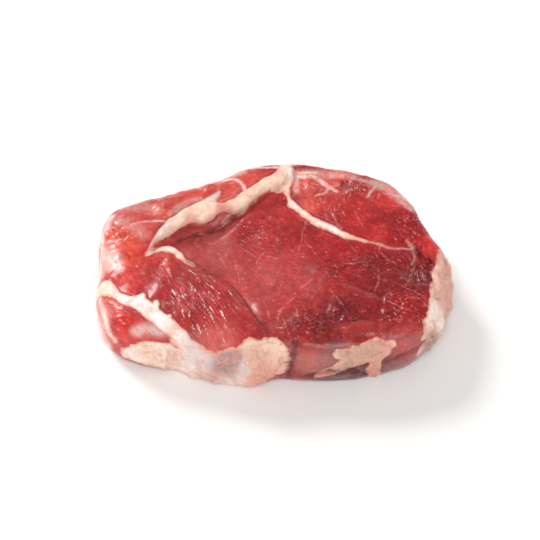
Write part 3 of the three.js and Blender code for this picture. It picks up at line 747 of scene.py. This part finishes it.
# Painted shade: clefts, folds, the foot of the front wall and the eye's side of the lip darken to deep
# red-brown.
cleft_shade_share = add("ShaderNodeMath", {"operation": "MULTIPLY"}, {0: kept["cleft_shade"]["Fac"], 1: 0.85})[0]
colour = add("ShaderNodeMix", COLOUR_MIX, {0: cleft_shade_share, 6: colour, 7: linear("#4a1014")})[2]

# Relief too fine for the skin's points: fibre bundles, a pebbled juice film and the fat's grain of 2 mm.
bundle_height = add("ShaderNodeMath", {"operation": "MULTIPLY"}, {0: bundle["Distance"], 1: -0.35})[0]
flesh_height = add("ShaderNodeMath", {"operation": "MULTIPLY_ADD"},
                   {0: fibres["Fac"], 1: 0.9, 2: bundle_height})[0]
wet_height = add("ShaderNodeMath", {"operation": "MULTIPLY"}, {0: flecks["Fac"], 1: kept["wet"]["Fac"]})[0]
flesh_height = add("ShaderNodeMath", {"operation": "MULTIPLY_ADD"},
                   {0: wet_height, 1: 2.2, 2: flesh_height})[0]
fat_height = add("ShaderNodeMath", {"operation": "MULTIPLY_ADD"},
                 {0: fine["Fac"], 1: 1.6, 2: fibres["Fac"]})[0]
fat_height = add("ShaderNodeMath", {"operation": "MULTIPLY_ADD"}, {0: lobule_rise, 1: 1.3, 2: fat_height})[0]
uneven = add("ShaderNodeMapRange", {}, {0: kept["wet"]["Fac"], 1: 0.0, 2: 1.0, 3: 0.14, 4: 1.1})[0]
flesh_height = add("ShaderNodeMath", {"operation": "MULTIPLY"}, {0: flesh_height, 1: uneven})[0]
relief = add("ShaderNodeMix", {"data_type": "FLOAT"}, {0: fat_share, 2: flesh_height, 3: fat_height})[0]
bump = add("ShaderNodeBump", {}, {"Strength": 1.0, "Distance": 0.3 * MM, "Height": relief})
dullness = add("ShaderNodeMapRange", {}, {0: kept["satin"]["Fac"], 1: 0.0, 2: 1.0, 3: 0.28, 4: 0.5})[0]
roughness = add("ShaderNodeMix", {"data_type": "FLOAT"}, {0: fat_share, 2: dullness, 3: 0.38})[0]
roughness = add("ShaderNodeMath", {"operation": "MULTIPLY_ADD"}, {0: mottle["Fac"], 1: -0.2, 2: roughness})[0]
roughness = add("ShaderNodeMath", {"operation": "ADD"}, {0: roughness, 1: 0.1})[0]
sinks_in = add("ShaderNodeMapRange", {}, {0: fat_share, 1: 0.0, 2: 1.0, 3: 0.15, 4: 0.25})[0]
shader = add("ShaderNodeBsdfPrincipled", {}, {
    "Base Color": colour,
    "Roughness": roughness,
    "IOR": 1.34,
    "Subsurface Weight": sinks_in,
    "Subsurface Radius": (1.0, 0.3, 0.2),
    "Subsurface Scale": 2.5 * MM,
    "Coat Weight": 0.32,
    "Coat Roughness": 0.13,
    "Coat IOR": 1.36,
    "Normal": bump["Normal"],
})
add("ShaderNodeOutputMaterial", {}, {"Surface": shader["BSDF"]})
beef.data.materials.append(raw_beef)

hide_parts("chuck_roll")
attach(beef, "root")

# The table: a plain pale floor that shows a soft shadow and nothing else.
FLOOR_SIZE = 6000
bm = bmesh.new()
bmesh.ops.create_grid(bm, x_segments=1, y_segments=1, size=FLOOR_SIZE * MM / 2)
bmesh.ops.translate(bm, verts=bm.verts, vec=(0, 0, -0.3 * MM))
floor_mesh = bpy.data.meshes.new("floor")
bm.to_mesh(floor_mesh)
bm.free()
floor = bpy.data.objects.new("floor", floor_mesh)
bpy.context.scene.collection.objects.link(floor)
floor_paint = bpy.data.materials.new("matt_white_paint")
floor_paint.use_nodes = True
floor_paint.node_tree.nodes["Principled BSDF"].inputs["Base Color"].default_value = linear("#f6f5f3")
floor_paint.node_tree.nodes["Principled BSDF"].inputs["Roughness"].default_value = 0.9
floor_mesh.materials.append(floor_paint)

# The studio: white walls all round, a large soft light behind on the left, whose light the wet face throws
# back at the camera, and a wider and weaker one at the front.
world = bpy.data.worlds.new("studio")
world.use_nodes = True
world.node_tree.nodes["Background"].inputs["Color"].default_value = (1, 1, 1, 1)
studio = world.node_tree
rise = studio.nodes.new("ShaderNodeSeparateXYZ")
studio.links.new(studio.nodes.new("ShaderNodeTexCoord").outputs["Generated"], rise.inputs["Vector"])
glow = studio.nodes.new("ShaderNodeMapRange")
for index, setting in enumerate((0.1, 0.4, 1.0, 0.32), start=1):
    glow.inputs[index].default_value = setting
studio.links.new(rise.outputs["Z"], glow.inputs["Value"])
studio.links.new(glow.outputs["Result"], studio.nodes["Background"].inputs["Strength"])
bpy.context.scene.world = world
SOFT_BOXES = {
    # direction from the slice, how wide it looks in degrees, and strength
    "back left": ((-0.55, 0.6, 0.55), 22, 2.5),
    "front": ((0.05, -0.65, 0.75), 45, 1.9),
}
for name, (towards, width, strength) in SOFT_BOXES.items():
    light = bpy.data.lights.new(name, "SUN")
    light.angle = math.radians(width)
    light.energy = strength
    lamp = bpy.data.objects.new(name, light)
    lamp.rotation_euler = Vector(towards).to_track_quat("Z", "Y").to_euler()
    bpy.context.scene.collection.objects.link(lamp)

# The camera: about 50 degrees above the table, straight in front, with a long lens, so that one pixel of the
# 540 by 540 picture spans 0.57 mm at the slice.
ELEVATION = math.radians(50)
PIXEL = 0.57
PICTURE = 540
FOCAL_LENGTH = 100
SENSOR = 36
AIM = Vector((-2.35, 6.94, 9.77)) * MM
back = Vector((0, -math.cos(ELEVATION), math.sin(ELEVATION)))
camera = bpy.data.objects.new("camera", bpy.data.cameras.new("camera"))
camera.data.lens = FOCAL_LENGTH
camera.data.sensor_width = SENSOR
camera.location = AIM + back * (FOCAL_LENGTH / SENSOR * PICTURE * PIXEL * MM)
camera.rotation_euler = back.to_track_quat("Z", "Y").to_euler()
bpy.context.scene.collection.objects.link(camera)
bpy.context.scene.camera = camera
bpy.context.scene.view_settings.view_transform = "Standard"
